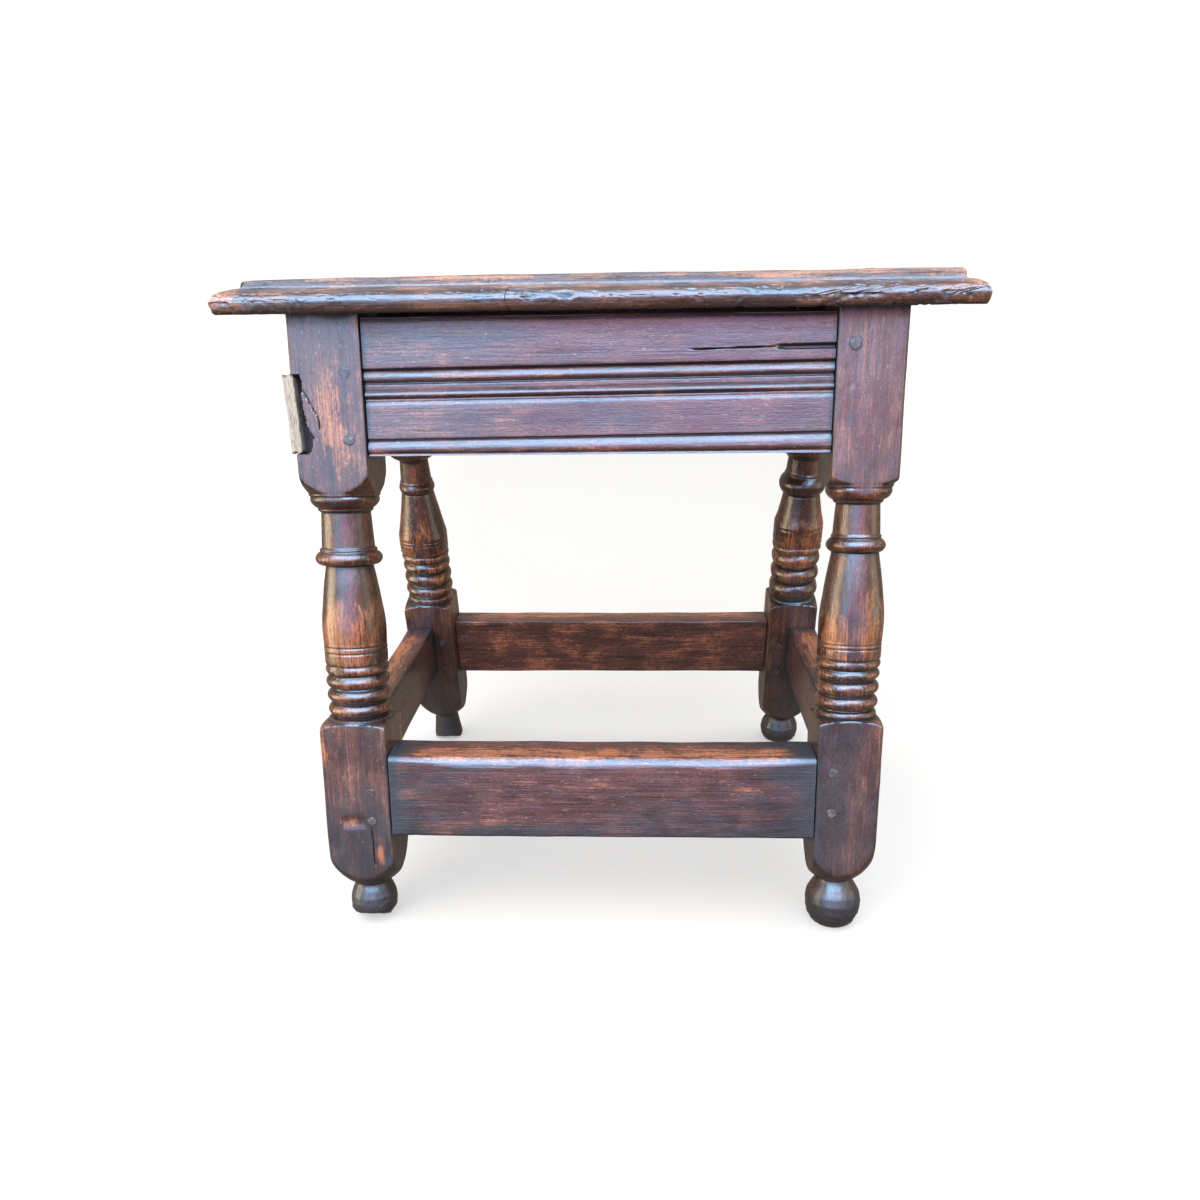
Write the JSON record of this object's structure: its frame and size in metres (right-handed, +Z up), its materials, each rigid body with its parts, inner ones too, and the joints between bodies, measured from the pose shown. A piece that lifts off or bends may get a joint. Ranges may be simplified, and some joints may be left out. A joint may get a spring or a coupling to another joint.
{
  "type": "joint stool",
  "caption": "Low joint stool in oak: moulded rectangular seat board on splayed, turned baluster legs with moulded frieze rails, plain stretchers and draw-bored pegs.",
  "frame": {"origin": "on the floor under the middle of the seat", "axes": "+Z up, X along the long side of the seat, -Y towards the front, the side with the let-in edge strip"},
  "size_m": [0.486, 0.3494, 0.455],
  "materials": {
    "seat_oak": "dark waxed oak, polished by handling, pitted and fissured edge",
    "leg_oak": "dark waxed oak, glossy on the turnings, grime in the grooves",
    "rail_oak": "dark waxed oak, fine straight grain, worn golden where feet rubbed",
    "peg_oak": "end grain of riven oak pegs, dark wax",
    "slip_oak": "greyish oak slip, less polished"
  },
  "bodies": {
    "root": {"seat_board": "seat_oak", "seat_edge_patch": "seat_oak", "leg_front_left": "leg_oak", "leg_front_right": "leg_oak", "leg_back_left": "leg_oak", "leg_back_right": "leg_oak", "leg_repair_slip": "slip_oak", "frieze_rail_front": "rail_oak", "frieze_rail_back": "rail_oak", "frieze_rail_left": "rail_oak", "frieze_rail_right": "rail_oak", "stretcher_front": "rail_oak", "stretcher_back": "rail_oak", "stretcher_left": "rail_oak", "stretcher_right": "rail_oak", "pegs_seat": "peg_oak", "pegs_frieze_front": "peg_oak", "pegs_frieze_back": "peg_oak", "pegs_frieze_left": "peg_oak", "pegs_frieze_right": "peg_oak", "pegs_stretcher_front": "peg_oak", "pegs_stretcher_back": "peg_oak", "pegs_stretcher_left": "peg_oak", "pegs_stretcher_right": "peg_oak"}
  },
  "joints": []
}
